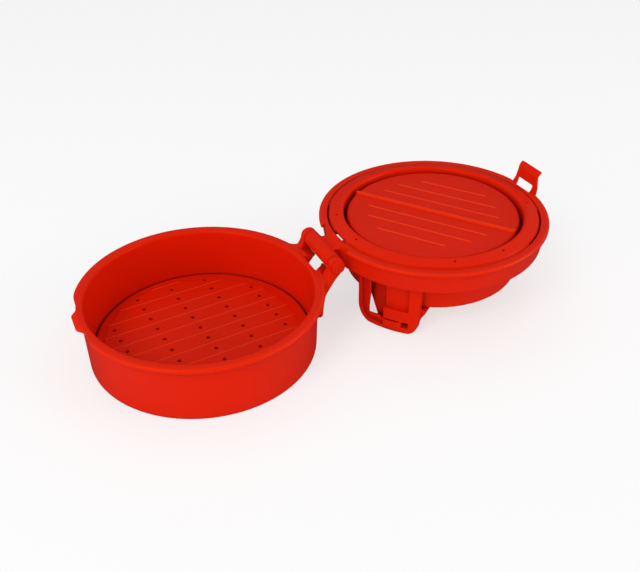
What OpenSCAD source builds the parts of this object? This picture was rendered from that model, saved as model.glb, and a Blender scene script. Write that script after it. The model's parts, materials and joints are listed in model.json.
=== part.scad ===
// Hinged patty press: a cup with a lift-out drain plate, a hinged lid ring
// that carries a press drum, and a pressing disc driven by a turning handle.
// Origin: centre of the cup's underside. +Z up, +X towards the hinge,
// hinge axis along Y. The lid is drawn opened flat, resting on its handle.

/* [Cup] */
// Outer radius of the rim flange, shared by cup and lid
rim_r = 66; // [65.5:0.25:68]
// Height of the cup
cup_h = 35; // [33:0.5:40]
// Outer radius of the cup wall just under the flange
wall_r = 62.1; // [61.8:0.1:62.6]
// Inner radius of the cup at the rim
mouth_r = 60.2; // [60.1:0.05:60.4]
// Thickness of the cup floor
floor_t = 2.5; // [2:0.25:3]
// Outer radius of the push-through openings in the cup floor
push_r = 44; // [30:1:48]

/* [Drain plate] */
// Radius of the drain plate
plate_r = 58.2; // [57.5:0.1:58.3]
// Thickness of the drain plate between its steps
plate_t = 3.3; // [2.5:0.1:3.6]
// Pitch of the stepped bands
band_pitch = 10.476; // [10:0.05:11]
// Height of each band's crest
band_h = 0.9; // [0.5:0.1:1.2]
// Diameter of a drain hole
drain_d = 2.3; // [1.8:0.1:3]
// Turn of the plate about the cup axis, in degrees
plate_turn = 5.6; // [0:0.2:20]

/* [Hinge] */
// Distance from the cup axis to the hinge axis
hinge_x = 71; // [70.8:0.1:71.6]
// Height of the hinge axis above the rim
hinge_up = 6.2; // [6:0.1:7]
// Diameter of the hinge pin
pin_d = 4; // [3.5:0.1:4.4]
// Diametral running clearance of the pin in the lid knuckle
pin_play = 0.1; // [0.04:0.02:0.18]
// Radius of the hinge barrel
barrel_r = 4.5; // [4:0.1:4.8]
// Half width of the lid knuckle
knuckle_y = 14.3; // [13:0.1:14.6]
// Half width of the whole hinge
hinge_y = 19.6; // [18.6:0.2:19.8]
// Half width of the window in the hinge bracket
window_y = 7.4; // [6:0.2:11]
// How far the open lid tips back past level, in degrees
lid_tip = 1.742; // [1.7:0.002:1.8]

/* [Lid] */
// Gap between the closed rims
rim_gap = 0.2; // [0.1:0.05:0.4]
// Thickness of the lid flange
flange_t = 2.4; // [2:0.1:3]
// Depth of the lid skirt
skirt_h = 14; // [13:0.25:14.5]
// Depth of the press drum
drum_h = 32.5; // [32:0.1:32.7]
// Outer radius of the drum at its far end
drum_r = 50.5; // [50:0.1:50.6]
// Outer radius of the press ring
ring_r = 59.9; // [59.6:0.05:60]

/* [Pressing disc] */
// Radius of the pressing disc
puck_r = 50; // [49:0.1:50.2]
// Direction of the disc's long rib about the lid axis, in degrees
rib_turn = -54.7; // [-90:0.1:0]
// Travel of the disc
puck_travel = 12; // [8:0.5:12]

/* [Handle] */
// Direction of the handle about the lid axis, in degrees
handle_turn = -145.5; // [-180:0.5:-90]
// Radius of the handle's end faces
handle_r = 57; // [56.6:0.1:57.2]
// Distance from the handle's middle to the edge of its long leg
leg_w = 20.1; // [19.6:0.1:20.4]
// Distance from the handle's middle to the edge of its post
post_w = 18.4; // [18:0.1:18.8]
// Depth of the handle's ends below the lid rim
handle_h = 48; // [47.6:0.05:48.1]

/* [Hidden] */
$fn = 96;
red = [0.87, 0.12, 0.01];
steel = [0.72, 0.73, 0.74];

hinge_z = cup_h + hinge_up;
ear_y = knuckle_y + 0.3;      // inner face of the cup's hinge ears
plate_z = floor_t + 0.1;      // underside of the drain plate

// Heights in the lid frame, measured from the lid's rim plane
axis_z = -(hinge_up - rim_gap);
stem_end = -38;
washer_top = -38.05;
washer_bottom = -39.4;
clip_top = -28.3;
clip_bottom = -29.8;
grip_top = -33.4;
grip_bottom = -46.4;

latch_window_w = 16;
hub_r = 13.9;                 // handle hub, turning in the drum
stem_w = 14;                  // square stem of the disc
bore_w = 14.3;                // square bore of the hub
clip_inner_r = 12.7;

// ---- Helpers ----

// Frame of the open lid: origin at the centre of its rim plane
module lid_frame() {
  translate([hinge_x, 0, hinge_z])
    rotate([0, -lid_tip, 0])
      translate([hinge_x, 0, -axis_z]) children();
}

module tube(inner_r, outer_r, bottom, top) {
  translate([0, 0, bottom]) difference() {
    cylinder(r = outer_r, h = top - bottom);
    translate([0, 0, -1]) cylinder(r = inner_r, h = top - bottom + 2);
  }
}

// An outline drawn in (x, z), extruded along Y
module along_y(y0, y1) {
  translate([0, y1, 0]) rotate([90, 0, 0]) linear_extrude(y1 - y0) children();
}

// An outline drawn in (y, z), extruded along X
module along_x(x0, x1) {
  translate([x0, 0, 0]) rotate([90, 0, 90]) linear_extrude(x1 - x0) children();
}

// Cylinder along Y, centred on the origin
module rod_y(radius, half_len) {
  translate([0, half_len, 0]) rotate([90, 0, 0]) cylinder(r = radius, h = 2 * half_len);
}

// Block starting at x and z, centred on y = 0
module mid_block(x, z, size) {
  translate([x, -size[1] / 2, z]) cube(size);
}

// Half an outline, closed by its mirror image; flip holds the sign for each axis
function mirrored(half, flip) = concat(half,
  [for (i = [len(half) - 1:-1:0]) [half[i][0] * flip[0], half[i][1] * flip[1]]]);
flip_first = [-1, 1];
flip_second = [1, -1];

function rect(span_y, span_z) = [
  [span_y[0], span_z[0]], [span_y[1], span_z[0]],
  [span_y[1], span_z[1]], [span_y[0], span_z[1]]];

// Quarter of an ellipse, from the start angle
function corner(centre, radii, start) =
  [for (t = [0:10:90]) centre + [radii[0] * cos(start + t), radii[1] * sin(start + t)]];

// ---- Cup ----

module cup_shell() {
  // (radius, z)
  rotate_extrude() polygon([
    [0, 0], [wall_r - 0.9, 0], [wall_r - 0.3, 0.6], [wall_r, cup_h - 5.2],
    [wall_r + 1.2, cup_h - 3.0], [rim_r - 0.8, cup_h - 2.6], [rim_r, cup_h - 1.8],
    [rim_r, cup_h - 0.8], [rim_r - 0.8, cup_h], [mouth_r + 0.5, cup_h],
    [mouth_r, cup_h - 0.5], [mouth_r - 0.9, 7.5], [plate_r + 0.65, 5],
    [plate_r + 0.6, floor_t], [0, floor_t]]);
}

// Side view of one hinge ear, in (x, z)
module ear_profile() {
  translate([hinge_x, hinge_z]) circle(r = barrel_r);
  polygon([
    [wall_r - 1, cup_h - 20], [wall_r + 0.1, cup_h - 14], [wall_r + 1.9, cup_h - 8.5],
    [hinge_x - 3.2, cup_h - 2], [hinge_x + 1.4, hinge_z - barrel_r + 0.22],
    [hinge_x + 3.4, hinge_z - 1], [hinge_x - 2.6, hinge_z + barrel_r - 1.2],
    [hinge_x - 4.3, hinge_z - 1.4], [wall_r + 2.9, cup_h], [wall_r - 1, cup_h]]);
}

// Bracket under the lid knuckle
module hinge_bracket() {
  difference() {
    along_y(-knuckle_y - 1, knuckle_y + 1) ear_profile();
    translate([hinge_x, 0, hinge_z]) rod_y(barrel_r + 0.4, ear_y);
    mid_block(wall_r + 1.9, cup_h - 0.01, [20, 2 * ear_y, 20]);
  }
}

// Cutter that sets the flange back around the catch
module catch_relief() {
  plan = [[-rim_r - 5, -26.5], [-60.6, -26.5], [-62.3, -13]];
  difference() {
    translate([0, 0, cup_h - 5]) linear_extrude(6) polygon(mirrored(plan, flip_second));
    translate([0, 0, cup_h - 6]) cylinder(r = 63.7, h = 8);
  }
}

// Four openings between the floor's spokes
module push_openings() {
  floor_hub_r = 15;
  spoke_w = 10;
  difference() {
    translate([0, 0, -1]) cylinder(r = push_r, h = floor_t + 2);
    translate([0, 0, -2]) cylinder(r = floor_hub_r, h = floor_t + 4);
    for (turn = [45, 135])
      rotate([0, 0, turn])
        mid_block(-push_r - 1, -2, [2 * push_r + 2, spoke_w, floor_t + 4]);
  }
}

// Lug on the rim opposite the hinge
module catch_lug() {
  side = [[-62, cup_h - 0.5], [-64.5, cup_h - 0.5], [-rim_r, cup_h - 1.7],
    [-rim_r, cup_h - 2.6], [-62, cup_h - 2.6]];
  plan = [[-61.8, -8.4], [-63.4, -8.2], [-rim_r, -6.2]];
  intersection() {
    along_y(-9, 9) polygon(side);
    translate([0, 0, cup_h - 4]) linear_extrude(5) polygon(mirrored(plan, flip_second));
  }
}

module base_cup() color(red) {
  difference() {
    union() {
      cup_shell();
      for (ear = [[-hinge_y, -ear_y], [ear_y, hinge_y]])
        along_y(ear[0], ear[1]) ear_profile();
      hinge_bracket();
    }
    catch_relief();
    // window through the bracket
    mid_block(wall_r + 0.8, cup_h - 9, [12, 2 * window_y, 14]);
    translate([hinge_x, 0, hinge_z]) rod_y(pin_d / 2 + 0.02, hinge_y + 1);
    push_openings();
  }
  catch_lug();
}

// ---- Drain plate ----

// Sawtooth section of the bands, in (y, z)
module band_profile() {
  for (k = [-4:5])
    polygon([
      [k * band_pitch, -0.5], [k * band_pitch, band_h],
      [(k - 1) * band_pitch + 0.6, 0], [(k - 1) * band_pitch + 0.6, -0.5]]);
}

module drain_holes() {
  for (row = [0:4], side = [-1, 1])
    // the two outer rows on each side hold fewer holes
    let (reach = row > 2 ? 1 : 2)
      for (i = [-reach:reach])
        translate([i * 2 * band_pitch, side * (row + 0.5) * band_pitch, 0])
          cylinder(r = drain_d / 2, h = 12, $fn = 24);
}

module drain_plate() color(red) {
  bands_r = 53.6;
  rotate([0, 0, plate_turn]) difference() {
    union() {
      translate([0, 0, plate_z]) cylinder(r = plate_r, h = plate_t);
      intersection() {
        translate([0, 0, plate_z]) cylinder(r = bands_r, h = plate_t + band_h + 1);
        translate([0, 0, plate_z + plate_t]) along_x(-60, 60) band_profile();
      }
    }
    drain_holes();
  }
}

// ---- Hinge pin: head at the -Y end, tapered tip at the +Y end ----

module hinge_pin() color(red) {
  tip_out = 0.3;
  taper = 0.6;
  head_r = 3.8;
  rim_t = 0.7;
  translate([hinge_x, 0, hinge_z]) rotate([90, 0, 0]) {
    translate([0, 0, -hinge_y - tip_out]) cylinder(r = pin_d / 2, h = 2 * hinge_y + tip_out);
    translate([0, 0, -hinge_y - tip_out - taper])
      cylinder(r1 = pin_d / 2 - taper, r2 = pin_d / 2, h = taper);
    translate([0, 0, hinge_y]) cylinder(r = head_r, h = rim_t);
    translate([0, 0, hinge_y + rim_t]) cylinder(r1 = head_r, r2 = 3.2, h = 0.5);
  }
}

// ---- Lid ring ----

module lid_shell() {
  // (radius, z)
  rotate_extrude() polygon([
    [61.2, 0], [rim_r - 0.8, 0], [rim_r, -0.8], [rim_r, -flange_t + 0.8],
    [rim_r - 0.8, -flange_t], [64.2, -flange_t - 0.5], [62.9, -skirt_h + 1.2],
    [61.7, -skirt_h], [52.8, -skirt_h], [52.8, -skirt_h + 1.8],
    [60.6, -skirt_h + 1.8], [61.0, -1.5]]);
}

module lid_barrel() {
  along_y(-knuckle_y, knuckle_y) translate([-hinge_x, axis_z]) circle(r = barrel_r);
}

// Saddle between the knuckle and the ring, waisted in plan
module saddle() {
  side = [[-hinge_x, axis_z + barrel_r], [-67, axis_z + 2.6], [-62, -2.6],
    [-62, -10.5], [-67, axis_z - 3.2], [-hinge_x, axis_z - barrel_r]];
  plan = [[-hinge_x, -12.6], [-69, -9.8], [-66.8, -8.1],
    [-64.8, -8.1], [-63.2, -9.6], [-61.8, -12.6]];
  intersection() {
    along_y(-knuckle_y, knuckle_y) polygon(side);
    translate([0, 0, -20]) linear_extrude(25) polygon(mirrored(plan, flip_second));
  }
}

module lid_ring() color(red) lid_frame() difference() {
  union() {
    lid_shell();
    lid_barrel();
    saddle();
  }
  // slot through the ring's inner lip
  rotate([0, 0, 161.5]) mid_block(50, -skirt_h - 1, [10.2, 9.2, 4]);
  // flange cut back beside the hinge
  difference() {
    mid_block(-rim_r - 1, -flange_t - 0.4, [12, 31.4, flange_t + 1]);
    translate([0, 0, -5]) cylinder(r = 64, h = 8);
    lid_barrel();
  }
  // seat of the latch loop and the notch behind its window
  mid_block(64, -flange_t - 1, [4, 23.2, flange_t + 2]);
  mid_block(63.2, -flange_t - 1, [4, latch_window_w, flange_t + 2]);
  translate([-hinge_x, 0, axis_z]) rod_y((pin_d + pin_play) / 2, hinge_y);
}

// ---- Latch loop ----

module latch_loop() color(red) lid_frame() {
  half_w = 11.2;
  side = [[64.3, -1.2], [66.3, -1.6], [67.5, 2.6], [68.1, 9.4], [70.2, 12.3],
    [69.2, 12.9], [66.5, 9.8], [66.25, 2.6], [65.2, -0.2]];
  // (y, z): arms narrow towards the lip, and the lip flares again
  face = [[half_w, -3], [half_w, 0], [9.5, 9.2], [10.4, 11], [10.2, 14]];
  difference() {
    intersection() {
      along_y(-half_w, half_w) {
        translate([65.3, -1.2]) circle(r = 1.1);
        polygon(side);
      }
      along_x(50, 80) polygon(mirrored(face, flip_first));
    }
    mid_block(60, -4, [12, latch_window_w, 7]);
  }
}

// ---- Press drum ----

module drum_shell() {
  floor_z = -30.2;
  collar_top = -14;
  // (radius, z): press ring, tapered wall, floor with a collar
  rotate_extrude() polygon([
    [ring_r, 0.5], [53.4, 2.2], [52.2, 1.9], [51.6, 1.0], [48.6, floor_z],
    [24, floor_z], [24, collar_top], [22, collar_top], [22, floor_z],
    [hub_r + 0.1, floor_z], [hub_r + 0.1, -drum_h], [drum_r - 1, -drum_h],
    [drum_r, -drum_h + 1], [53.7, -1.3], [ring_r - 0.4, -1.3], [ring_r, -0.8]]);
}

// Band around the press ring's edge, left open over two arcs
module edge_band() {
  function far_point(angle) = [90 * cos(angle), 90 * sin(angle)];
  open_arcs = [
    [far_point(144), [-90, 40], [-90, -8], far_point(188)],
    [far_point(-63), [90, -90], far_point(-26)]];
  difference() {
    tube(59, 60.8, -2, -0.8);
    for (arc = open_arcs)
      translate([0, 0, -3]) linear_extrude(4) polygon(concat([[0, 0]], arc));
  }
}

module press_drum() color(red) lid_frame() difference() {
  union() {
    drum_shell();
    // three ribs under the press ring
    for (turn = [-100, 20, 140])
      rotate([0, 0, turn]) mid_block(52.2, -skirt_h + 1.9, [7.9, 2.5, skirt_h - 3]);
    edge_band();
  }
  // air vents in the press ring, in pairs
  for (turn = [-5:90:265], offset = [-15, 15])
    rotate([0, 0, turn + offset]) translate([55.6, 0, -2]) cylinder(r = 0.75, h = 6, $fn = 24);
}

// ---- Pressing disc ----

module puck_disc() {
  under_z = -3;
  sleeve_end = -24;
  // (radius, z)
  rotate_extrude() polygon([
    [0, -0.5], [46, -0.5], [48.6, -1.0], [puck_r - 0.2, -2.0], [puck_r, -2.8],
    [puck_r, -4.2], [puck_r - 2, -4.2], [puck_r - 2.2, under_z], [21.6, under_z],
    [21.6, sleeve_end], [18.6, sleeve_end], [18.6, under_z], [0, under_z]]);
}

// One long rib across the middle and three short ones on each side
module puck_ribs() {
  ribs_r = 37.4;
  intersection() {
    mid_block(-puck_r, -2.2, [2 * puck_r, 2, 3.15]);
    translate([0, 0, -3]) cylinder(r = puck_r - 0.7, h = 5);
  }
  for (k = [1:3], side = [-1, 1])
    let (reach = sqrt(ribs_r * ribs_r - pow(k * band_pitch, 2)))
      translate([0, side * k * band_pitch, 0]) mid_block(-reach, -1, [2 * reach, 1, 0.85]);
}

module press_puck() color(red) lid_frame() difference() {
  union() {
    puck_disc();
    rotate([0, 0, handle_turn])
      mid_block(-stem_w / 2, stem_end, [stem_w, stem_w, -2 - stem_end]);
    rotate([0, 0, rib_turn]) puck_ribs();
  }
  translate([0, 0, stem_end - 2]) cylinder(r = 1.98, h = 16, $fn = 48);
}

// ---- Handle: drawn along X, end outlines in (y, z) ----

// Handle end with rounded lower corners
module end_outline() {
  leg_radii = [9, 10.5];
  post_radii = [6.6, 11.6];
  polygon(concat(
    corner([-leg_w, -handle_h] + leg_radii, leg_radii, 180),
    corner([post_w - post_radii[0], -handle_h + post_radii[1]], post_radii, 270),
    [[post_w, -16.5], [-leg_w, -16.5]]));
}

// Cutter for a handle end: a (y, z) outline sunk in to the given radius
module sink(radius) {
  difference() {
    along_x(40, 70) children();
    cylinder(r = radius, h = 200, center = true);
  }
}

module handle_end() {
  channel = [
    [3.2 - leg_w, -38], [5.6 - leg_w, -44.4], [-2.6, -45.4], [-2.6, -42.4],
    [-11, -42.2], [-12.4, -40], [-12.4, -12], [3.2 - leg_w, -12]];
  difference() {
    intersection() {
      tube(52.9, handle_r, -handle_h - 1, -16);
      along_x(30, 70) end_outline();
    }
    // channel along the long leg and its foot
    sink(54.9) polygon(channel);
    // recess in the block
    sink(54) polygon(rect([-1.2, 12.6], [-33.4, -12]));
    // slit under the ledge
    sink(54.6) polygon(rect([-2.2, 7.6], [-41.1, -40.4]));
  }
}

// Grip section, narrower below; an inset section reaches above the top
module grip_outline(inset) {
  polygon(mirrored([
    [-17.2 + inset, grip_top + 2 * inset], [-17.2 + inset, -33.6],
    [-9.6 + inset * 0.6, grip_bottom + inset]], flip_first));
}

// Bar with two hollows open at the top
module grip() {
  half_len = 53.2;
  wall = 2.4;
  difference() {
    along_x(-half_len, half_len) grip_outline(0);
    for (middle = [-33, 33]) along_x(middle - 16, middle + 16) grip_outline(wall);
  }
}

// Hub with the groove of the retainer clip
module handle_hub() {
  bottom = -44;
  top = -18;
  difference() {
    translate([0, 0, bottom]) cylinder(r = hub_r, h = top - bottom);
    tube(clip_inner_r - 0.1, 20, clip_bottom - 0.1, clip_top + 0.2);
  }
}

module handle() color(red) lid_frame() rotate([0, 0, handle_turn]) difference() {
  union() {
    for (turn = [0, 180]) rotate([0, 0, turn]) handle_end();
    rotate([0, 0, 3.5]) grip();
    handle_hub();
  }
  for (turn = [0, 180]) rotate([0, 0, turn]) {
    // window between the long leg and the block
    sink(51.3) polygon(rect([-10.9, -1.2], [-40.4, -12]));
    // pocket beside the tab
    sink(49) polygon(rect([9.4, 13], [-43.8, -40.7]));
  }
  // round well that leaves room for the disc's travel
  translate([0, 0, -47]) cylinder(r = 11.2, h = 47 + stem_end + puck_travel + 0.2);
  mid_block(-bore_w / 2, -45, [bore_w, bore_w, 40]);
}

// ---- Small parts on the lid axis ----

module retainer_clip() color(red) lid_frame() rotate([0, 0, handle_turn]) difference() {
  tube(clip_inner_r, 18, clip_bottom, clip_top);
  translate([-6.5, 0, -35]) cube([13, 30, 12]);
}

module stem_washer() color(steel) lid_frame() tube(2.2, 10.4, washer_bottom, washer_top);

// Screw with a cross slot in its head
module stem_screw() color(steel) lid_frame() {
  head_h = 1.8;
  translate([0, 0, washer_bottom]) cylinder(r = 1.96, h = 13.4, $fn = 48);
  translate([0, 0, washer_bottom - head_h]) difference() {
    cylinder(r = 4, h = head_h, $fn = 48);
    for (turn = [0, 90]) rotate([0, 0, turn]) mid_block(-2.4, -1, [4.8, 1, 1.9]);
  }
}

module handle_cap() color(red) lid_frame() {
  translate([0, 0, grip_bottom]) cylinder(r = 11.1, h = 1.6);
  tube(8.6, 10.2, -45, -41.6);
}

base_cup();
drain_plate();
hinge_pin();
lid_ring();
latch_loop();
press_drum();
press_puck();
handle();
retainer_clip();
stem_washer();
stem_screw();
handle_cap();
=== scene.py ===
"""A red plastic hinged press, standing open.

The cup stands on z = 0 with its axis on world Z, its catch at -X and its hinge at +X.
The lid parts are modelled in the lid's frame, whose origin and normal come from the handle_twist
joint: x runs from the hinge to the latch, y is world Y, and h runs along the normal. The rim plane
is h = 0, and the side that meets the cup when closed faces +h. Shapes are in mm, the scene in m.

Each moulding is a distance field, below zero inside, meshed by surface().
"""
import json
import math

import bmesh
import bpy
import numpy as np
from mathutils import Matrix, Vector


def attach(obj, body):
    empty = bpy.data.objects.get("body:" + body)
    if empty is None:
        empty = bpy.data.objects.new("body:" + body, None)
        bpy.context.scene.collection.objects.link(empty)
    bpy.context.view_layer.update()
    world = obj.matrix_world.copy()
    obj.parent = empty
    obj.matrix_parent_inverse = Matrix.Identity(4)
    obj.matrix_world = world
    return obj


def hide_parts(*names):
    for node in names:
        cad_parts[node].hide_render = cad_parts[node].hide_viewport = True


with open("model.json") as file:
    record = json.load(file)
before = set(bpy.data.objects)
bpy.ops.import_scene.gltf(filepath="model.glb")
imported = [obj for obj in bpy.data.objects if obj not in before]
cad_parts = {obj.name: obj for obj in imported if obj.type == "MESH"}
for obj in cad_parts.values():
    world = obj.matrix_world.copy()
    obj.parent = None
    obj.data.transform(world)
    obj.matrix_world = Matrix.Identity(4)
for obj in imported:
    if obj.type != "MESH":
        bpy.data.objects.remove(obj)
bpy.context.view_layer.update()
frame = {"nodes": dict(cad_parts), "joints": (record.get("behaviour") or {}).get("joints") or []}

MM = 0.001

# ---------------------------------------------------------------- frames and shared sizes
X_AXIS, Y_AXIS, Z_AXIS = np.eye(3)
joints = {joint["name"]: joint for joint in frame["joints"]}
LID_ORIGIN = np.array(joints["handle_twist"]["pos_m"], float) / MM
LID_NORMAL = np.array(joints["handle_twist"]["axis"], float)
LID_NORMAL = LID_NORMAL / np.linalg.norm(LID_NORMAL)
HINGE = np.array(joints["lid_hinge"]["pos_m"], float) / MM
HINGE_X, HINGE_Z = float(HINGE[0]), float(HINGE[2])

CUP_H = 35.0
WALL_R = 62.1  # outside of the cup wall
RIM_R = 66.0  # flanges of cup and lid
HINGE_H = -(HINGE_Z - CUP_H - 0.2)  # hinge axis in the lid's frame
PITCH = 10.476  # ridges of the drain plate and the pressing disc
PLATE_TURN = 5.6  # degrees about world Z
PUCK_TURN = -54.7  # degrees about the lid's normal
HANDLE_TURN = -145.5


def rotated(x, y, degrees):
    """x and y read in axes turned by the angle."""
    c, s = math.cos(math.radians(degrees)), math.sin(math.radians(degrees))
    return x * c + y * s, y * c - x * s


def placement(x_axis, y_axis, z_axis, origin, turn=0.0):
    """4x4 matrix of a frame turned about its z axis, in mm."""
    matrix = np.eye(4)
    x_axis, y_axis = rotated(x_axis, y_axis, turn)
    matrix[:3] = np.stack([x_axis, y_axis, z_axis, origin], 1)
    return matrix


def lid_matrix(turn=0.0):
    return placement(np.cross(Y_AXIS, LID_NORMAL), Y_AXIS, LID_NORMAL, LID_ORIGIN, turn)


# ---------------------------------------------------------------- distance-field tools
def join(a, b, blend):
    """Union with a soft seam."""
    h = np.maximum(blend - np.abs(a - b), 0.0) / blend
    return np.minimum(a, b) - h * h * blend * 0.25


def meet(a, b, blend):
    """Intersection with a rounded edge."""
    h = np.maximum(blend - np.abs(a - b), 0.0) / blend
    return np.maximum(a, b) + h * h * blend * 0.25


def carve(body, tool, blend):
    return meet(body, -tool, blend)


def slab(x, middle, half):
    return np.abs(x - middle) - half


def rect(x, y, x0, x1, y0, y1, blend=0.6):
    return meet(
        slab(x, (x0 + x1) / 2, (x1 - x0) / 2), slab(y, (y0 + y1) / 2, (y1 - y0) / 2), blend
    )


def ease(x, start, length):
    """Smooth step from 0 at start to 1 at start + length."""
    t = np.clip((x - start) / length, 0, 1)
    return t * t * (3 - 2 * t)


def bell(x, width):
    return np.exp(-((x / width) ** 2))


def rounded(corners):
    """Closed outline from (x, y, radius) corners, each rounded by an arc of six steps."""
    steps = 6
    outline = []
    count = len(corners)
    for i in range(count):
        before, corner, after = (np.array(corners[(i + d) % count][:2], float) for d in (-1, 0, 1))
        radius = corners[i][2]
        back, ahead = before - corner, after - corner
        back_len, ahead_len = np.linalg.norm(back), np.linalg.norm(ahead)
        back, ahead = back / back_len, ahead / ahead_len
        half = math.acos(float(np.clip(back @ ahead, -1, 1))) / 2
        if radius <= 0 or half > math.pi / 2 - 0.02:
            outline.append(corner)
            continue
        trim = min(radius / math.tan(half), 0.49 * back_len, 0.49 * ahead_len)
        radius = trim * math.tan(half)
        bisector = (back + ahead) / np.linalg.norm(back + ahead)
        centre = corner + bisector * (radius / math.sin(half))
        start, end = corner + back * trim, corner + ahead * trim
        angle = math.atan2(*(start - centre)[::-1])
        end_angle = math.atan2(*(end - centre)[::-1])
        sweep = (end_angle - angle + math.pi) % (2 * math.pi) - math.pi
        for j in range(steps + 1):
            w = angle + sweep * j / steps
            outline.append(centre + radius * np.array([math.cos(w), math.sin(w)]))
    return np.array(outline)


class Profile:
    """Signed distance of a closed outline, tabulated and read with linear interpolation."""

    def __init__(self, outline, step=0.12, margin=6.0):
        v = np.array(outline, float)
        self.low = v.min(0) - margin
        self.step = step
        self.size = np.ceil((v.max(0) + margin - self.low) / step).astype(int) + 2
        grid_x, grid_y = (
            (self.low[a] + step * np.arange(self.size[a])).astype(np.float32) for a in (0, 1)
        )
        X, Y = np.meshgrid(grid_x, grid_y, indexing="ij")
        nearest = np.full(X.shape, 1e9, np.float32)
        inside = np.zeros(X.shape, bool)
        for i in range(len(v)):
            ax, ay = v[i]
            bx, by = v[(i + 1) % len(v)]
            ex, ey = bx - ax, by - ay
            length2 = ex * ex + ey * ey
            if length2 < 1e-12:
                continue
            wx, wy = X - ax, Y - ay
            t = np.clip((wx * ex + wy * ey) / length2, 0, 1)
            dx, dy = wx - ex * t, wy - ey * t
            nearest = np.minimum(nearest, dx * dx + dy * dy)
            if abs(ey) > 1e-12:
                inside ^= ((ay > Y) != (by > Y)) & (X < ex * (Y - ay) / ey + ax)
        distance = np.sqrt(nearest)
        self.table = np.where(inside, -distance, distance).astype(np.float32)

    def __call__(self, x, y):
        fx = (x - self.low[0]) / self.step
        fy = (y - self.low[1]) / self.step
        cx = np.clip(fx, 0, self.size[0] - 1.001)
        cy = np.clip(fy, 0, self.size[1] - 1.001)
        outside = np.hypot(fx - cx, fy - cy) * self.step
        i, j = cx.astype(np.int32), cy.astype(np.int32)
        u, w = cx - i, cy - j
        T = self.table
        return (
            T[i, j] * (1 - u) * (1 - w) + T[i + 1, j] * u * (1 - w)
            + T[i, j + 1] * (1 - u) * w + T[i + 1, j + 1] * u * w + outside
        )


def section(corners, **table):
    return Profile(rounded(corners), **table)


# ---------------------------------------------------------------- meshing
CHUNK = 400000  # points per field call
BLOCK = 8  # grid steps per block; only blocks near the surface are sampled


def evaluate(field, points):
    out = np.empty(len(points), np.float32)
    for i in range(0, len(points), CHUNK):
        out[i : i + CHUNK] = field(*points[i : i + CHUNK].T)
    return out


def gradient(field, points, reach=0.02):
    slope = np.empty((len(points), 3), np.float64)
    for a in range(3):
        d = np.zeros(3)
        d[a] = reach
        slope[:, a] = (evaluate(field, points + d) - evaluate(field, points - d)) / (2 * reach)
    return slope


def sample_grid(field, low, step, blocks):
    """Field on the grid; blocks far from the surface hold only its sign."""
    axes = [low[a] + step[a] * (BLOCK * np.arange(blocks[a]) + BLOCK / 2) for a in range(3)]
    centres = np.stack(np.meshgrid(*axes, indexing="ij"), -1).reshape(-1, 3)
    at_centre = evaluate(field, centres)
    reach = float(np.linalg.norm(step * BLOCK)) / 2 * 1.15 + 0.6
    fill = np.where(at_centre < 0, -1.0, 1.0).astype(np.float32).reshape(tuple(blocks))
    for a in range(3):
        fill = np.repeat(fill, BLOCK, a)
    samples = np.empty(tuple(blocks * BLOCK + 1), np.float32)
    samples[:-1, :-1, :-1] = fill
    samples[-1], samples[:, -1], samples[:, :, -1] = 1.0, 1.0, 1.0
    near = np.argwhere((np.abs(at_centre) < reach).reshape(tuple(blocks)))
    r = np.arange(BLOCK + 1)
    offsets = np.stack(np.meshgrid(r, r, r, indexing="ij"), -1).reshape(-1, 3)
    batch = max(1, CHUNK // len(offsets))
    for s in range(0, len(near), batch):
        g = (near[s : s + batch, None, :] * BLOCK + offsets[None]).reshape(-1, 3)
        samples[g[:, 0], g[:, 1], g[:, 2]] = field(*(low + g * step).T)
    return samples


def net_vertices(samples):
    """One vertex per crossed cell, in grid steps, and each cell's vertex number."""
    inside = samples < 0
    cells = tuple(k - 1 for k in samples.shape)
    count = np.zeros(cells, np.int8)
    corners = [(a, b, c) for a in (0, 1) for b in (0, 1) for c in (0, 1)]
    for a, b, c in corners:
        count += inside[a : cells[0] + a, b : cells[1] + b, c : cells[2] + c]
    I, J, K = np.nonzero((count > 0) & (count < 8))
    number = np.full(cells, -1, np.int32)
    number[I, J, K] = np.arange(len(I))
    total, hits = np.zeros((len(I), 3)), np.zeros(len(I))
    for start in corners:
        for axis in range(3):
            if start[axis]:
                continue
            end = list(start)
            end[axis] = 1
            fa = samples[I + start[0], J + start[1], K + start[2]]
            fb = samples[I + end[0], J + end[1], K + end[2]]
            hit = (fa < 0) != (fb < 0)
            crossing = np.tile(np.array(start, float), (hit.sum(), 1))
            crossing[:, axis] += fa[hit] / (fa[hit] - fb[hit])
            total[hit] += crossing
            hits[hit] += 1
    return np.stack([I, J, K], 1) + total / hits[:, None], number


def net_quads(inside, number):
    """One quad around each crossed grid edge, facing outwards."""
    cells = number.shape
    quads = []
    for axis in range(3):
        b, c = (axis + 1) % 3, (axis + 2) % 3
        first, second = [slice(None)] * 3, [slice(None)] * 3
        first[axis], second[axis] = slice(0, -1), slice(1, None)
        start = inside[tuple(first)]
        E = np.argwhere(start != inside[tuple(second)])
        E = E[(E[:, b] > 0) & (E[:, c] > 0) & (E[:, b] < cells[b]) & (E[:, c] < cells[c])]
        outward = start[E[:, 0], E[:, 1], E[:, 2]]
        ring = []
        for db, dc in ((-1, -1), (0, -1), (0, 0), (-1, 0)):
            q = E.copy()
            q[:, b] += db
            q[:, c] += dc
            ring.append(number[q[:, 0], q[:, 1], q[:, 2]])
        Q = np.stack(ring, 1)
        Q[~outward] = Q[~outward][:, ::-1]
        quads.append(Q)
    return np.concatenate(quads)


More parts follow.
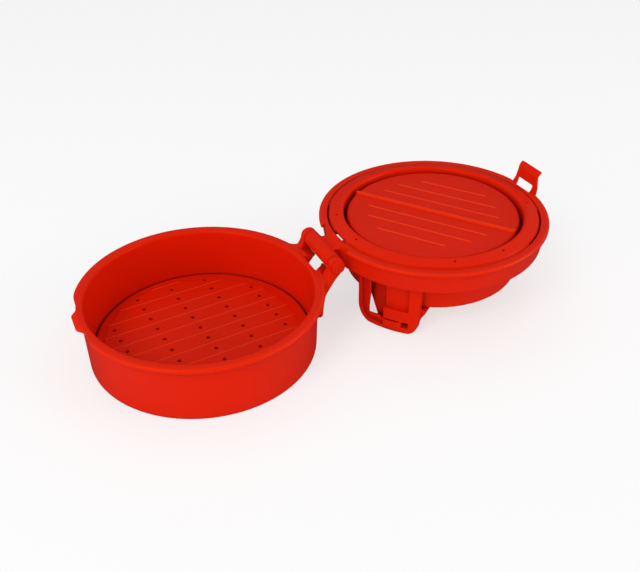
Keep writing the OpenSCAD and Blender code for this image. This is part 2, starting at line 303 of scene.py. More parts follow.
def surface(field, low, high, step):
    """Meshes the field with surface nets, then slides every vertex onto the true surface.
    Returns vertices, quads and vertex normals."""
    step = step * np.ones(3)
    low = np.array(low, float) - 1.37 * step
    high = np.array(high, float) + 1.37 * step
    blocks = np.ceil((high - low) / (step * BLOCK)).astype(int)
    samples = sample_grid(field, low, step, blocks)
    verts, number = net_vertices(samples)
    verts = low + step * verts
    quads = net_quads(samples < 0, number)
    limit = float(step.min()) * 0.6
    for _ in range(4):
        slope = gradient(field, verts)
        steepness = np.maximum((slope * slope).sum(1), 0.05)
        move = -(evaluate(field, verts) / steepness)[:, None] * slope
        length = np.linalg.norm(move, axis=1)
        move *= np.minimum(1.0, limit / np.maximum(length, 1e-9))[:, None]
        verts = verts + move
    normals = gradient(field, verts, 0.06)
    normals /= np.maximum(np.linalg.norm(normals, axis=1), 1e-9)[:, None]
    return verts, quads, normals


def piece(name, parts, body, node, kind, **attributes):
    """Joins (surface, matrix) parts into one object that stands for its CAD node.
    Attributes are per-vertex values from 0 to 1: the highlight attribute lightens the colour as a
    painted highlight, shade darkens it as painted shade."""
    verts, quads, normals, base = [], [], [], 0
    for (part_verts, part_quads, part_normals), matrix in parts:
        turn = matrix[:3, :3]
        verts.append(part_verts @ turn.T + matrix[:3, 3])
        normals.append(part_normals @ turn.T)
        quads.append(part_quads + base)
        base += len(part_verts)
    verts, quads, normals = np.concatenate(verts) * MM, np.concatenate(quads), np.concatenate(normals)
    mesh = bpy.data.meshes.new(name)
    mesh.vertices.add(len(verts))
    mesh.vertices.foreach_set("co", verts.astype(np.float32).ravel())
    mesh.loops.add(len(quads) * 4)
    mesh.loops.foreach_set("vertex_index", quads.astype(np.int32).ravel())
    mesh.polygons.add(len(quads))
    mesh.polygons.foreach_set("loop_start", (np.arange(len(quads)) * 4).astype(np.int32))
    mesh.polygons.foreach_set("use_smooth", np.ones(len(quads), bool))
    mesh.update(calc_edges=True)
    mesh.validate()
    mesh.normals_split_custom_set_from_vertices([tuple(v) for v in normals.tolist()])
    for label, values in attributes.items():
        attribute = mesh.attributes.new(label, "FLOAT", "POINT")
        attribute.data.foreach_set("value", values.astype(np.float32))
    obj = bpy.data.objects.new(name, mesh)
    bpy.context.scene.collection.objects.link(obj)
    mesh.materials.append(plastics[kind])
    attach(obj, body)
    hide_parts(node)


# ---------------------------------------------------------------- shader helpers
def feed(node, inputs):
    """Sets each input to a value, or links it when given a socket."""
    for key, value in inputs.items():
        if isinstance(value, bpy.types.NodeSocket):
            node.id_data.links.new(value, node.inputs[key])
        else:
            node.inputs[key].default_value = value


def add_node(tree, kind, inputs=None, **settings):
    node = tree.nodes.new("ShaderNode" + kind)
    for key, value in settings.items():
        setattr(node, key, value)
    feed(node, inputs or {})
    return node


def noise(tree, vector, **inputs):
    return add_node(tree, "TexNoise", {"Vector": vector, **inputs}).outputs["Fac"]


def bump(tree, **inputs):
    return add_node(tree, "Bump", inputs).outputs[0]


def calculate(tree, operation, *values, **settings):
    inputs = dict(enumerate(values))
    return add_node(tree, "Math", inputs, operation=operation, **settings).outputs[0]


def map_range(tree, value, source=(0, 1), target=(0, 1)):
    inputs = {"From Min": source[0], "From Max": source[1]}
    inputs |= {"To Min": target[0], "To Max": target[1], "Value": value}
    return add_node(tree, "MapRange", inputs).outputs[0]


def mix_colour(tree, factor, a, b, **settings):
    inputs = {0: factor, 6: a, 7: b}  # the colour sockets of a Mix node
    return add_node(tree, "Mix", inputs, data_type="RGBA", **settings).outputs[2]


def mapped(tree, **inputs):
    """Object coordinates through a mapping."""
    place = add_node(tree, "TexCoord").outputs["Object"]
    return add_node(tree, "Mapping", {"Vector": place, **inputs}).outputs[0]


def new_material(name):
    material = bpy.data.materials.new(name)
    material.use_nodes = True
    return material, material.node_tree


# ---------------------------------------------------------------- materials
def plastic(name, colour, rough, grain, specular, seed):
    """Moulded polypropylene: soft sheen, colour drift, orange peel, grain, edges lightened partly as
    wear and partly as painted highlight, painted highlights on given lines, painted shade in
    crevices.
    """
    material, tree = new_material(name)
    tree.nodes.clear()
    output = add_node(tree, "OutputMaterial")
    shader = add_node(tree, "BsdfPrincipled")
    feed(output, {0: shader.outputs[0]})
    place = mapped(tree, Location=(seed, seed * 0.7, -seed))
    drift = noise(tree, place, Scale=18, Detail=3)
    peel = noise(tree, place, Scale=210, Detail=2)
    fine = noise(tree, place, Scale=1900, Detail=4)
    scuff = noise(tree, place, Scale=70, Detail=8, Roughness=0.7)

    # drift between two near reds, then lightened edges and lines: sharp edges from pointiness as part
    # wear and part painted highlight, and the per-vertex attribute as painted highlight
    darker = (*[c * 0.94 for c in colour], 1)
    lighter = (*[min(1, c * 1.05) for c in colour], 1)
    base = mix_colour(tree, drift, darker, lighter)
    pointiness = add_node(tree, "NewGeometry").outputs["Pointiness"]
    edge = map_range(tree, pointiness, source=(0.56, 0.72))
    edge_wear_and_highlight = calculate(tree, "MULTIPLY", edge, 0.4)
    rub = add_node(tree, "Attribute", attribute_name="rub").outputs["Fac"]
    rubbed = calculate(tree, "MULTIPLY_ADD", rub, 0.85, edge_wear_and_highlight, use_clamp=True)
    red, green, blue = colour
    pale = (min(1, red * 1.25), green * 2.6 + 0.02, blue * 2.5 + 0.012, 1)
    base = mix_colour(tree, rubbed, base, pale)

    # painted shade: ambient occlusion darkens the colour in crevices and recesses, and the shade
    # attribute darkens it further
    occlusion = add_node(tree, "AmbientOcclusion", {"Distance": 0.0038}, samples=8)
    open_part = map_range(tree, occlusion.outputs["AO"], source=(0.15, 0.85), target=(0.5, 1.0))
    shade = add_node(tree, "Attribute", attribute_name="shade").outputs["Fac"]
    unshaded = calculate(tree, "SUBTRACT", 1.0, shade)
    light = calculate(tree, "MULTIPLY", open_part, unshaded)
    base = mix_colour(tree, 1.0, base, light, blend_type="MULTIPLY")

    roughness = map_range(tree, scuff, source=(0.35, 0.7), target=(rough - 0.02, rough + 0.06))
    roughness = calculate(tree, "MULTIPLY_ADD", edge_wear_and_highlight, 0.12, roughness)
    normal = bump(tree, Strength=0.05, Distance=0.0006, Height=peel)
    normal = bump(tree, Strength=grain, Distance=0.00012, Height=fine, Normal=normal)
    feed(shader, {
        "Base Color": base,
        "Roughness": roughness,
        "Normal": normal,
        "IOR": 1.49,
        "Specular Tint": (1.0, 0.07, 0.012, 1),
        "Specular IOR Level": specular,
    })
    return material


def brushed_steel(name):
    material, tree = new_material(name)
    streaks = noise(tree, mapped(tree, Scale=(1, 1, 30)), Scale=400, Detail=5)
    feed(tree.nodes["Principled BSDF"], {
        "Roughness": map_range(tree, streaks, target=(0.22, 0.42)),
        "Normal": bump(tree, Strength=0.12, Distance=0.0001, Height=streaks),
        "Base Color": (0.62, 0.63, 0.64, 1),
        "Metallic": 1.0,
    })
    return material


RED = (0.78, 0.0145, 0.0012)
# kind, colour, roughness, grain strength, specular level; the row number seeds the noise
PLASTICS = [
    ("cup", RED, 0.30, 0.06, 0.65),
    ("plate", (0.74, 0.0135, 0.0012), 0.34, 0.1, 0.65),
    ("lid", RED, 0.30, 0.06, 0.65),
    ("drum", RED, 0.30, 0.06, 0.65),
    ("puck", (0.76, 0.014, 0.0012), 0.33, 0.08, 0.65),
    ("handle", RED, 0.29, 0.06, 0.65),
    ("latch", RED, 0.28, 0.06, 0.65),
    ("pin", RED, 0.27, 0.06, 0.65),
    ("clip", (0.6, 0.02, 0.004), 0.4, 0.06, 0.45),
]
plastics = {
    kind: plastic(kind + "_red", *look, seed=seed)
    for seed, (kind, *look) in enumerate(PLASTICS, start=1)
}
steel = brushed_steel("fastener_steel")

# Every section below is a list of (x or radius, height, corner radius) unless noted.

# ---------------------------------------------------------------- cup
cup_section = section([
    (-6, 0, 0), (61.5, 0, 1.0), (WALL_R, 28.6, 4.0), (63.8, 32.3, 1.6), (RIM_R, 32.5, 0.5),
    (RIM_R, CUP_H, 1.9), (60.1, CUP_H, 2.0), (59.3, 7.4, 0.8), (59.0, 6.0, 0.5),
    (58.9, 2.5, 0.15), (-6, 2.5, 0),
])
ear_section = section([
    (WALL_R - 2.0, CUP_H - 23.0, 0), (WALL_R - 0.3, CUP_H - 23.0, 3),
    (WALL_R + 0.9, CUP_H - 10.0, 12), (HINGE_X - 3.4, CUP_H - 2.6, 12),
    (HINGE_X + 2.6, HINGE_Z - 4.0, 2.5), (HINGE_X + 4.35, HINGE_Z - 1.2, 2.5),
    (HINGE_X + 3.9, HINGE_Z + 3.0, 4.2), (HINGE_X, HINGE_Z + 4.6, 4.2),
    (HINGE_X - 4.0, HINGE_Z + 3.1, 4.2), (HINGE_X - 4.7, HINGE_Z - 1.2, 3.0),
    (WALL_R + 2.4, CUP_H - 0.3, 2.2), (WALL_R - 2.0, CUP_H - 0.3, 0),
])
EAR_GAP = 14.6  # half the gap between the two ears


def add_ears(d, x, y, z):
    """Adds the two hinge ears to the cup's field."""
    r, side = np.hypot(x, y), np.abs(y)
    axis_r = np.hypot(x - HINGE_X, z - HINGE_Z)
    half_width = 19.5 + 2.2 * np.clip((HINGE_Z - 1 - z) / 8.0, 0, 1) ** 1.5
    ear = meet(ear_section(x, z), side - half_width, 1.2)
    gap = meet(side - EAR_GAP, CUP_H - 0.3 - z, 0.4)
    gap = meet(gap, WALL_R + 0.6 - x, 0.4)
    gap = np.minimum(gap, meet(axis_r - 4.72, side - EAR_GAP, 0.3))
    ear = carve(ear, gap, 0.5)
    ear = meet(ear, side - 22, 0.3)
    ear = meet(ear, 61.1 - r, 0.3)
    d = join(d, ear, 0.1 + 3.5 * ease(r, 61.0, 1.6))
    window = meet(slab(y, -1.4, 7.6), WALL_R + 0.75 - x, 0.5)
    window = meet(window, slab(z, CUP_H, 9.2), 0.5)
    # the inner face of the ear at -Y runs on a slant to the knuckle
    u = np.clip(x - 62.7, 0, 12)
    window = meet(window, -8.9 + 0.35 * u + 0.093 * u * u - y, 0.5)
    d = carve(d, window, 0.7)
    d = carve(d, axis_r - 2.02, 0.3)  # pin hole
    # nothing stands above the rim where the closed lid sits
    clear_r = 64.6 + 1.7 * np.clip((side - 13.4) / 1.2, 0, 1)
    return carve(d, meet(r - clear_r, CUP_H + 0.04 - z, 0.2), 0.15)


def cup_field(x, y, z):
    r = np.hypot(x, y)
    d = cup_section(r, z)
    # flange drawn back beside the catch, in a gentle curve
    drawn_r = 63.75 + 2.6 * ease(np.abs(y), 12.0, 15.0)
    cut = meet(meet(x + 50, drawn_r - r, 0.3), slab(z, 34, 3.2), 0.1)
    d = carve(d, cut, 1.0)
    # catch lug, tapered in plan and in height
    lug = meet(np.abs(y) - (8.4 - 0.85 * np.clip(-x - 63.4, 0, 4)), -x - 66.05, 0.7)
    lug_height = slab(z, 33.1, 1.25) + 0.3 * np.clip(-x - 64.6, 0, 2)
    lug = meet(meet(lug, x + 61.6, 0.2), lug_height, 0.8)
    d = join(d, lug, 0.9)
    # four openings in the floor, between diagonal spokes
    spoke = np.minimum(np.abs(x + y), np.abs(x - y)) * 0.7071
    opening = meet(meet(r - 44, 15 - r, 3), 5 - spoke, 4)
    opening = meet(opening, slab(z, 1, 5), 0.1)
    d = carve(d, opening, 0.8)
    near = x > 54
    d[near] = add_ears(d[near], x[near], y[near], z[near])
    return d


def build_cup():
    high = (HINGE_X + 5, 66.3, HINGE_Z + 5.2)
    mesh = surface(cup_field, (-66.3, -66.3, -0.3), high, 0.755)
    x, y, z = mesh[0].T
    # painted highlight along the rounded outer edge of the rim
    rub = 0.22 * bell(np.hypot(x, y) - 65.2, 0.9) * (z > 33.6) * (z < 35.2)
    piece("cup_shell", [(mesh, np.eye(4))], "cup", "base_cup", "cup", rub=rub)


build_cup()

# ---------------------------------------------------------------- drain plate
plate_section = section([(-6, 2.6, 0), (58.05, 2.6, 0.5), (58.05, 5.9, 0.4), (-6, 5.9, 0)])
STEP_FALL = 0.45  # length of the steep side of each ridge
STRETCH_Z = 4.2  # the ridges lift only what lies above this


def plate_field(x, y, z):
    """Saw-toothed ridges along x, with a round hole at every other pitch."""
    r = np.hypot(x, y)
    s = y - np.floor(y / PITCH) * PITCH
    rise = np.clip((s - STEP_FALL) / (PITCH - STEP_FALL), 0, 1)
    fall = 1 - np.clip(s / STEP_FALL, 0, 1)
    lift = 0.86 * np.where(s < STEP_FALL, fall, rise)
    lift = lift + 0.16 * bell(s - PITCH + 0.3, 0.42)
    lift = lift * ease(53.6 - r, 0, 0.5 + 3.5 * np.clip(x / 25, 0, 1))
    d = plate_section(r, np.where(z > STRETCH_Z, np.maximum(z - lift, STRETCH_Z), z))
    row = np.round(y / PITCH - 0.5) + 0.5
    last = np.where(np.abs(row) > 3, 1, 2)
    column = np.clip(np.round(x / (2 * PITCH)), -last, last)
    hole = np.hypot(x - column * 2 * PITCH, y - row * PITCH) - 0.95
    hole = np.where(np.abs(row) < 5, hole, 5.0)
    return carve(d, hole, 0.35)


def build_plate():
    step = (0.8, PITCH / 28, 0.35)
    mesh = surface(plate_field, (-58.3, -58.3, 2.5), (58.3, 58.3, 6.95), step)
    x, y, z = mesh[0].T
    # painted highlight along each ridge crest, inside a 53.4 mm radius
    off_crest = (y + 0.25) - np.round((y + 0.25) / PITCH) * PITCH
    rub = bell(off_crest, 0.42) * (np.hypot(x, y) < 53.4) * (z > 6.3)
    matrix = placement(X_AXIS, Y_AXIS, Z_AXIS, np.zeros(3), PLATE_TURN)
    piece("drain_plate_top", [(mesh, matrix)], "plate", "drain_plate", "plate", rub=rub)


build_plate()

# ---------------------------------------------------------------- lid ring
ring_section = section([
    (61.1, 0.0, 0.7), (RIM_R, 0.0, 1.8), (RIM_R, -2.4, 0.5), (64.5, -2.6, 2.0),
    (62.9, -14.0, 0.9), (52.8, -14.0, 0.4), (52.8, -12.2, 0.4), (60.6, -12.2, 0.8),
    (61.1, -3.0, 0),
])
arm_section = section([
    (-HINGE_X + 1.0, HINGE_H + 2.9, 0), (-HINGE_X + 3.6, HINGE_H + 2.3, 3),
    (-65.2, -2.3, 3.0), (-61.6, -1.2, 0), (-61.6, -12.6, 0), (-63.4, -12.6, 3),
    (-HINGE_X + 4.2, HINGE_H - 3.4, 5), (-HINGE_X + 1.0, HINGE_H - 3.4, 0),
])
BARREL_HALF = 14.3  # half the length of the hinge barrel


def add_saddle(d, x, y, h):
    """Adds the hinge barrel, and the saddle that ties it to the ring."""
    r, side = np.hypot(x, y), np.abs(y)
    axis_r = np.hypot(x + HINGE_X, h - HINGE_H)
    barrel = axis_r - 4.5
    arm = join(barrel, arm_section(x, h), 2.5)
    waist = BARREL_HALF - 6.9 * np.exp(-np.abs((x + 65.6) / 3.3) ** 3)
    arm = meet(arm, (side - waist) * 0.75, 1.0)
    arm = np.minimum(arm, meet(barrel, side - BARREL_HALF, 0.8))
    arm = meet(arm, 61.7 - r, 0.3)
    d = join(d, arm, 0.1 + 2.9 * ease(r, 61.6, 1.6))
    d = carve(d, axis_r - 2.05, 0.25)  # pin hole
    # the saddle stays below the rim plane that meets the cup
    return carve(d, meet(r - 65.6, 0.0 - h, 0.1), 0.05)


def lid_field(x, y, h):
    r = np.hypot(x, y)
    d = ring_section(r, h)
    # flange cut back beside the hinge
    cut = meet(meet(x + 55, np.abs(y) - 15.7, 0.6), slab(h, -1, 2.6), 0.2)
    cut = meet(cut, 63.9 - r, 0.3)
    d = carve(d, cut, 0.5)
    # slot through the inner lip
    u, v = rotated(x, y, 161.5)
    slot = meet(meet(slab(u, 55.1, 5.1), slab(v, 0, 4.6), 1.0), slab(h, -13, 2), 0.1)
    d = carve(d, slot, 0.4)
    # latch's seat, then the notch behind the latch window
    for start_x, half, corner, blend in ((64.0, 11.5, 0.5, 0.5), (63.3, 8.0, 0.8, 0.6)):
        cut = meet(meet(start_x - x, np.abs(y) - half, corner), slab(h, -1, 2.9), 0.2)
        d = carve(d, cut, blend)
    near = x < -58
    d[near] = add_saddle(d[near], x[near], y[near], h[near])
    return d


def build_lid():
    low = (-HINGE_X - 5, -66.3, -14.4)
    mesh = surface(lid_field, low, (66.3, 66.3, 0.6), 0.55)
    x, y, h = mesh[0].T
    # painted highlight along the rounded outer edge of the flange
    rub = 0.26 * bell(np.hypot(x, y) - 65.4, 0.8) * (h > -1.4)
    piece("lid_ring_moulding", [(mesh, lid_matrix())], "lid", "lid_ring", "lid", rub=rub)


build_lid()

# ---------------------------------------------------------------- latch loop
latch_side = section([
    (64.25, -2.2, 0.5), (66.35, -2.2, 0.6), (66.6, -1.0, 2), (67.5, 2.6, 6), (68.0, 9.2, 3),
    (70.1, 12.2, 0.4), (69.0, 12.5, 0.4), (66.5, 9.8, 2.5), (66.2, 2.6, 6), (65.2, -0.2, 1.5),
    (64.3, -0.6, 0.4),
], step=0.08, margin=4)
# outline seen along x: y, height, corner radius
latch_front = section([
    (-10.4, -4, 0), (11.2, -4, 0), (11.2, -0.2, 2), (9.3, 9.0, 5), (9.9, 11.4, 1.5),
    (9.5, 14.5, 1), (-8.4, 14.5, 1), (-8.8, 11.4, 1.5), (-8.3, 9.0, 5), (-10.4, -0.2, 2),
], step=0.08, margin=4)


def latch_field(x, y, h):
    window = meet(slab(y, 1.1, 6.7), h - 2.9, 0.9)
    return carve(meet(latch_side(x, h), latch_front(y, h), 0.9), window, 0.7)


def build_latch():
    step = 0.3
    mesh = surface(latch_field, (64, -11.4, -2.5), (70.4, 11.4, 13.2), step)
    piece("latch_loop_moulding", [(mesh, lid_matrix())], "latch", "latch_loop", "latch")


build_latch()

# ---------------------------------------------------------------- press drum
drum_top = section([
    (59.9, -1.3, 0.5), (59.9, 0.5, 0.6), (52.0, 2.5, 2.0), (50.9, -5.5, 0), (52.9, -5.5, 0),
    (53.65, -1.3, 0.8),
])
drum_low = section([
    (51.0, -5.0, 0), (48.6, -30.2, 1.5), (24, -30.2, 0.8), (23.9, -14, 0.8), (22, -14, 0.8),
    (22, -30.2, 0.8), (14.05, -30.2, 0.3), (14.05, -32.5, 0.3), (50.5, -32.5, 0.5),
    (53.25, -5.0, 0),
])


def drum_top_field(x, y, h):
    """Sloping collar with eight small holes and a broken shelf around it."""
    r = np.hypot(x, y)
    angle = np.degrees(np.arctan2(y, x))
    quarter = np.round((angle + 5) / 90) * 90 - 5
    holes = np.inf
    for side in (-15, 15):
        t = np.radians(quarter + side)
        hole = np.hypot(x - 55.6 * np.cos(t), y - 55.6 * np.sin(t)) - 0.64
        holes = np.minimum(holes, hole)

    def off(centre):
        """Degrees between a point and the given direction."""
        return np.abs((angle - centre + 180) % 360 - 180)

    gaps = np.maximum(20.0 - off(166), 18.5 - off(-44.5))
    shelf = meet(meet(59.3 - r, r - 60.98, 0.2), slab(h, -1.2, 0.8), 0.3)
    narrow = meet(meet(shelf, r - 60.42, 0.2), 5.2 - off(179.5), 0.3)
    shelf = np.minimum(meet(shelf, gaps, 0.5), narrow)
    return carve(join(drum_top(r, h), shelf, 0.4), holes, 0.3)


def drum_low_field(x, y, h):
    d = drum_low(np.hypot(x, y), h)
    for angle in (-100, 20, 140):
        u, v = rotated(x, y, angle)
        rib = meet(meet(slab(u, 55.6, 4.5), slab(v, 0, 1.25), 0.5), slab(h, -6.7, 5.4), 0.5)
        d = join(d, rib, 1.0)
    return d


def build_drum():
    step = 0.555
    top = surface(drum_top_field, (-61, -61, -5.6), (61, 61, 2.4), step)
    step = 0.94
    low = surface(drum_low_field, (-60.2, -60.2, -32.7), (60.2, 60.2, -1.0), step)
    parts = [(top, lid_matrix()), (low, lid_matrix())]
    piece("press_drum_moulding", parts, "lid", "press_drum", "drum")


build_drum()

# ---------------------------------------------------------------- pressing disc
puck_section = section([
    (-6, -0.5, 0), (49.6, -0.5, 2.2), (50.0, -4.2, 0.5), (48.0, -4.2, 0.5), (47.8, -3.0, 0.6),
    (21.6, -3, 0.8), (21.6, -24, 0.6), (18.6, -24, 0.6), (18.6, -3, 0.8), (-6, -3, 0),
])


def stem_field(x, y, h):
    """Square stem, 14 mm wide from h = -38 to -2, its edges rounded by 0.5."""
    u, v = rotated(x, y, HANDLE_TURN - PUCK_TURN)
    qx, qy, qz = slab(u, 0, 6.5), slab(v, 0, 6.5), slab(h, -20, 17.5)
    out = np.sqrt(np.maximum(qx, 0) ** 2 + np.maximum(qy, 0) ** 2 + np.maximum(qz, 0) ** 2)
    return out + np.minimum(np.maximum(qx, np.maximum(qy, qz)), 0) - 0.5


def puck_field(x, y, h):
    r = np.hypot(x, y)
    d = join(puck_section(r, h), stem_field(x, y, h), 0.8)
    # tall rib across the middle, and thin ones that run out at a 37.4 mm radius
    rib = meet(meet(np.abs(y) - 1.0, h - 0.95, 0.8), r - 49.6, 0.8)
    rib = meet(rib, -2.0 - h, 0.1)
    d = join(d, rib, 0.9)
    for k in (1, 2, 3):
        half = math.sqrt(37.4**2 - (k * PITCH) ** 2)
        off_line = np.hypot(np.maximum(np.abs(x) - half, 0), np.abs(y) - k * PITCH)
        thin = meet(off_line - 0.55, h + 0.12, 0.5)
        thin = meet(thin, -1.5 - h, 0.1)
        d = join(d, thin, 0.5)
    return carve(d, meet(r - 1.98, h + 24, 0.2), 0.3)  # bore up the stem


def build_puck():
    step = (0.8, 0.4, 0.4)
    mesh = surface(puck_field, (-50.2, -50.2, -38.2), (50.2, 50.2, 1.2), step)
    _, y, h = mesh[0].T
    # painted highlight on the rib tops, weaker on the tall middle rib
    rub = np.clip((h + 0.42) / 0.25, 0, 1) * (h > -0.5) * np.where(np.abs(y) < 3, 0.55, 1.0)
    piece("press_disc", [(mesh, lid_matrix(PUCK_TURN))], "puck", "press_puck", "puck", rub=rub)


build_puck()

# ---------------------------------------------------------------- handle
# The handle runs along x, and its two ends match under a half turn.
# Each end plate spans across = -LEG to POST, down to h = -FOOT.
LEG, POST, FOOT = 20.1, 18.4, 48.0
END_R = 57.0  # outer face of the end plates
corner_angles = np.linspace(0, math.pi / 2, 14)
end_outline = Profile([
    *[(-LEG + 9 - 9 * math.cos(t), -FOOT + 10.5 - 10.5 * math.sin(t)) for t in corner_angles],
    *[(POST - 6.9 + 5.7 * math.sin(t), -FOOT + 7.4 - 7.4 * math.cos(t)) for t in corner_angles],
    (POST, -16.5), (-LEG, -16.5),
])
# across, height, corner radius
channel_outline = section([
    (3.0 - LEG, -38, 3), (5.6 - LEG, -44.6, 3), (-2.6, -45.6, 0.5), (-2.6, -42.2, 0.5),
    (-10.6, -42.0, 2.5), (-12.3, -40, 1.5), (-12.3, -10, 0), (3.0 - LEG, -10, 0),
], margin=4)
grip_section = section([
    (-17.4, -32.8, 0.3), (-9.5, -46.4, 1.5), (9.5, -46.4, 2.0), (17.4, -32.8, 0.8),
])
hollow_section = section([
    (-13.4, -30, 0), (-13.4, -34, 0.5), (-8.2, -44.0, 1.5), (8.2, -44.0, 1.5),
    (13.4, -34, 0.5), (13.4, -30, 0),
])


def drafted(out, across, h):
    """Across, skewed so that the window's jamb leans inwards."""
    return across + 0.5 * np.clip(END_R - out, 0, 9) - 0.085 * np.clip(h + 38, 0, 12)


def end_field(out, across, h):
    """End plate with a channel, a recess, a slit and a drafted window."""
    r = np.hypot(out, across)
    d = meet(meet(r - END_R, 52.9 - r, 0.8), end_outline(across, h), 0.8)
    d = meet(d, 10 - out, 0.1)
    d = carve(d, meet(channel_outline(across, h), 54.9 - r, 0.4), 0.5)
    recess = meet(rect(across, h, -3.8, 12.0, -33.4, -10.0), 54.0 - r, 0.3)
    d = carve(d, recess, 0.5)
    slit = meet(rect(across, h, -3.8, 6.9, -41.15, -40.45, 0.2), 55.2 - r, 0.2)
    d = carve(d, slit, 0.25)
    sill = h + 0.82 * np.clip(END_R - out, 0, 9)
    window = rect(drafted(out, across, h), sill, -10.8, 6.0, -39.0, 10.0, 0.4)
    window = meet(window, 50.5 - r, 0.3)
    window = meet(window, across + 2.7, 0.3)
    window = meet(window, h + 14, 0.2)
    return carve(d, window, 0.4)


def tab_field(out, across, h):
    """Small proud tab beyond the slit, chamfered on one side."""
    r = np.hypot(out, across)
    face = r - 57.45 + 0.35 * np.clip(across - 4.6, 0, 2)
    d = meet(rect(across, h, -2.4, 6.8, -45.9, -41.2, 0.5), face, 0.5)
    return meet(meet(d, 53 - r, 0.2), 10 - out, 0.1)


def open_window(d, r, out, across, h):
    """Cuts the grip clear of one end's window, and closes part of it with a web."""
    window = meet(-10.85 - drafted(out, across, h), across + 2.5, 0.3)
    window = meet(window, slab(h, -25.2, 15.2), 0.3)
    window = meet(window, 51.3 - out, 0.2)
    d = carve(d, window, 0.3)
    # side of the grip relieved beside the window
    slant = 0.39 * (-30.8 - h)
    side = (across + 12.6 - slant + 0.4 * np.clip(50 - out, 0, 12)) * 0.93
    side = meet(meet(side, r - 53.3, 0.1), 40 - out, 0.1)
    d = carve(d, side, 0.2)
    web = meet((-12.75 + slant - across) * 0.93, slab(r, 52.5, 0.4), 0.15)
    web = meet(meet(web, across + 1.5, 0.1), slab(h, -31.2, 11.0), 0.15)
    return np.minimum(d, meet(web, 10 - out, 0.1))


def handle_field(x, y, h):
    r = np.hypot(x, y)
    d = np.minimum(end_field(x, y, h), end_field(-x, -y, h))
    u, v = rotated(x, y, 4.0)
    grip = meet(grip_section(v, h), np.abs(u) - 51.6, 0.5)
    hollow = meet(hollow_section(v, h), slab(np.abs(u), 33.0, 15.5), 1.2)
    d = join(d, carve(grip, hollow, 0.8), 0.9)
    for sign in (1, -1):
        d = open_window(d, r, sign * x, sign * y, h)
    d = np.minimum(d, np.minimum(tab_field(x, y, h), tab_field(-x, -y, h)))
    for sign in (1, -1):
        pocket = meet(rect(sign * y, h, 8.3, 12.0, -44.4, -40.6, 0.3), 46 - sign * x, 0.2)
        d = carve(d, pocket, 0.3)
    # grooved hub with a round bore and a square socket
    hub = meet(meet(r - 13.9, h + 18, 0.8), -44.0 - h, 0.8)
    hub = carve(hub, meet(12.6 - r, slab(h, -29.0, 0.9), 0.1), 0.1)
    d = join(d, hub, 0.8)
    d = carve(d, meet(r - 11.2, h + 25.8, 0.4), 0.4)
    return carve(d, np.maximum(np.abs(x), np.abs(y)) - 7.15, 0.2)


def build_handle():
    step = 0.5
    mesh = surface(handle_field, (-57.6, -26, -48.3), (57.6, 26, -16), step)
    x, y, h = mesh[0].T
    across = np.where(x > 0, y, -y)
    # painted shade: the web seen through the window is darkened where shade falls in it
    on_web = (np.abs(np.hypot(x, y) - 52.4) < 1.0) & (across < -2.2) & (across > -16.5)
    shade = 0.3 * (on_web & (h > -43) & (h < -19))
    matrix = lid_matrix(HANDLE_TURN)
    piece("bridge_handle", [(mesh, matrix)], "handle", "handle", "handle", shade=shade)


build_handle()

# ---------------------------------------------------------------- hinge pin
pin_section = section([
    (-4, -20.5, 0), (1.9, -20.5, 0.5), (2.0, 19.6, 0.1), (3.9, 19.6, 0.2), (3.9, 20.85, 0.5),
    (-4, 20.8, 0),
], step=0.06, margin=3)


def pin_field(x, y, z):
    return pin_section(np.hypot(x, y), z)


def build_pin():
    """The pin lies on the hinge axis with its head at -Y."""
    step = 0.25
    mesh = surface(pin_field, (-4.1, -4.1, -20.7), (4.1, 4.1, 21.0), step)
    matrix = placement(X_AXIS, Z_AXIS, -Y_AXIS, HINGE)
    piece("hinge_pin_moulding", [(mesh, matrix)], "cup", "hinge_pin", "pin")


build_pin()

# ---------------------------------------------------------------- hub fittings kept from the CAD
for node_name, material, slot in (
    ("retainer_clip", plastics["clip"], "clip_plastic"),
    ("handle_cap", plastics["handle"], "handle_plastic"),
    ("stem_washer", steel, "fastener_steel"),
    ("stem_screw", steel, "fastener_steel"),
):
    fitting = frame["nodes"][node_name]
    fitting.data.materials.clear()
    fitting.data.materials.append(material)
    bevel = fitting.modifiers.new("edge", "BEVEL")
    bevel.width = 0.00012
    bevel.segments = 3
    bevel.limit_method = "ANGLE"
    bevel.angle_limit = math.radians(40)
    bevel.harden_normals = True

# ---------------------------------------------------------------- studio, in metres
# paper sweep: y, z
SWEEP = [(-3.0, 0.0), (2.2, 0.0), (2.6, 0.06), (2.9, 0.25), (3.05, 0.6), (3.1, 3.0)]
SWEEP_HALF = 4.0
FLOOR_DROP = 0.0002  # keeps the paper just under the cup


def grey(level):
    return (level, level, level, 1)


def paper():
    """White paper: bright to the camera, dark in reflections."""
    material, tree = new_material("paper_white")
    shader = tree.nodes["Principled BSDF"]
    shader.inputs["Base Color"].default_value = grey(0.93)  # used only if unlinked
    ray = add_node(tree, "LightPath").outputs
    indirect = mix_colour(tree, ray["Is Glossy Ray"], grey(0.9), grey(0.08))
    feed(shader, {
        "Roughness": 0.9,
        "Specular IOR Level": 0.1,
        "Base Color": mix_colour(tree, ray["Is Camera Ray"], indirect, grey(0.36)),
        "Emission Color": grey(1),
        "Emission Strength": calculate(tree, "MULTIPLY", ray["Is Camera Ray"], 0.64),
    })
    return material


def build_floor():
    bm = bmesh.new()
    rows = [
        [bm.verts.new((x, y, z - FLOOR_DROP)) for x in (-SWEEP_HALF, SWEEP_HALF)]
        for y, z in SWEEP
    ]
    for near, far in zip(rows, rows[1:]):
        bm.faces.new((near[0], near[1], far[1], far[0]))
    mesh = bpy.data.meshes.new("studio_floor")
    bm.to_mesh(mesh)
    bm.free()
    floor = bpy.data.objects.new("studio_floor", mesh)
    bpy.context.scene.collection.objects.link(floor)
    mesh.materials.append(paper())


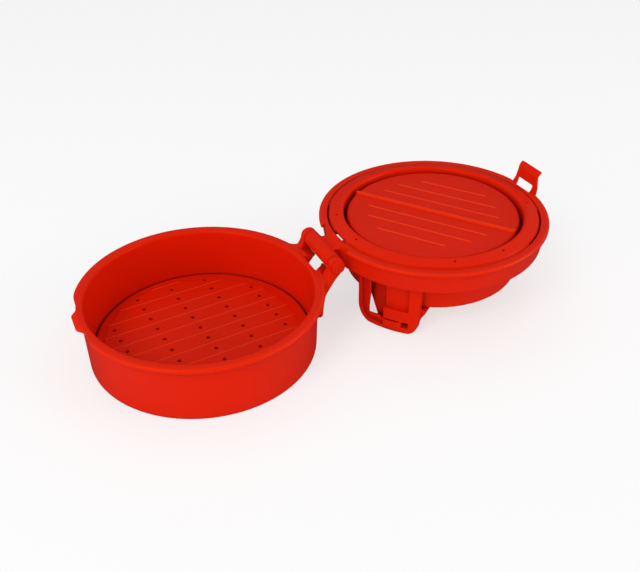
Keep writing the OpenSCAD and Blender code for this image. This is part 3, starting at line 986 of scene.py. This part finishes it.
def build_world():
    """Plain white to the camera, softer to diffuse light, dim in reflections."""
    world = bpy.data.worlds.new("studio")
    bpy.context.scene.world = world
    world.use_nodes = True
    tree = world.node_tree
    ray = add_node(tree, "LightPath").outputs
    seen = map_range(tree, ray["Is Camera Ray"], target=(0.62, 1.0))
    # float sockets of a Mix node: factor, A, B
    inputs = {0: ray["Is Glossy Ray"], 2: seen, 3: 0.12}
    strength = add_node(tree, "Mix", inputs, data_type="FLOAT").outputs[0]
    feed(tree.nodes["Background"], {0: grey(1), 1: strength})


def lamp(name, place, target, size, power):
    light = bpy.data.lights.new(name, "AREA")
    light.shape = "RECTANGLE"
    light.size, light.size_y = size
    light.energy = power
    obj = bpy.data.objects.new(name, light)
    obj.location = place
    obj.rotation_mode = "QUATERNION"
    obj.rotation_quaternion = (Vector(target) - Vector(place)).to_track_quat("-Z", "Y")
    bpy.context.scene.collection.objects.link(obj)
    return obj


build_floor()
build_world()
# name, place, target, size, watts
for row in (
    ("key", (-0.9, -0.6, 1.1), (0.06, 0.0, 0.0), (0.6, 0.6), 6.6),
    ("low_left", (-1.15, -0.5, 0.28), (0.05, 0.0, 0.02), (0.7, 0.5), 2.6),
    ("fill", (1.05, -0.75, 0.36), (0.08, 0.0, 0.02), (0.7, 0.5), 4.0),
    ("top", (0.1, 0.3, 1.4), (0.08, 0.0, 0.0), (1.4, 1.0), 0.4),
):
    last_lamp = lamp(*row)
last_lamp.visible_glossy = False  # the top lamp makes no highlights


# ---------------------------------------------------------------- camera
def build_camera(place, forward, roll, lens):
    data = bpy.data.cameras.new("camera")
    camera = bpy.data.objects.new("camera", data)
    bpy.context.scene.collection.objects.link(camera)
    bpy.context.scene.camera = camera
    data.sensor_fit = "HORIZONTAL"
    data.sensor_width = 36.0
    data.lens = lens
    data.clip_start, data.clip_end = 0.01, 20.0
    forward = Vector(forward).normalized()
    level = forward.cross(Vector((0, 0, 1))).normalized()
    upright = level.cross(forward)
    c, s = math.cos(roll), math.sin(roll)
    axes = Matrix((level * c + upright * s, upright * c - level * s, -forward)).transposed()
    camera.matrix_world = Matrix.Translation(place) @ axes.to_4x4()


build_camera(
    place=(-0.08908, -0.33245, 0.27041),
    forward=(0.35541, 0.74332, -0.56671),
    roll=math.radians(0.58),
    lens=44.05,
)

view = bpy.context.scene.view_settings
view.view_transform = "Standard"
view.look = "None"
view.exposure = 0.0
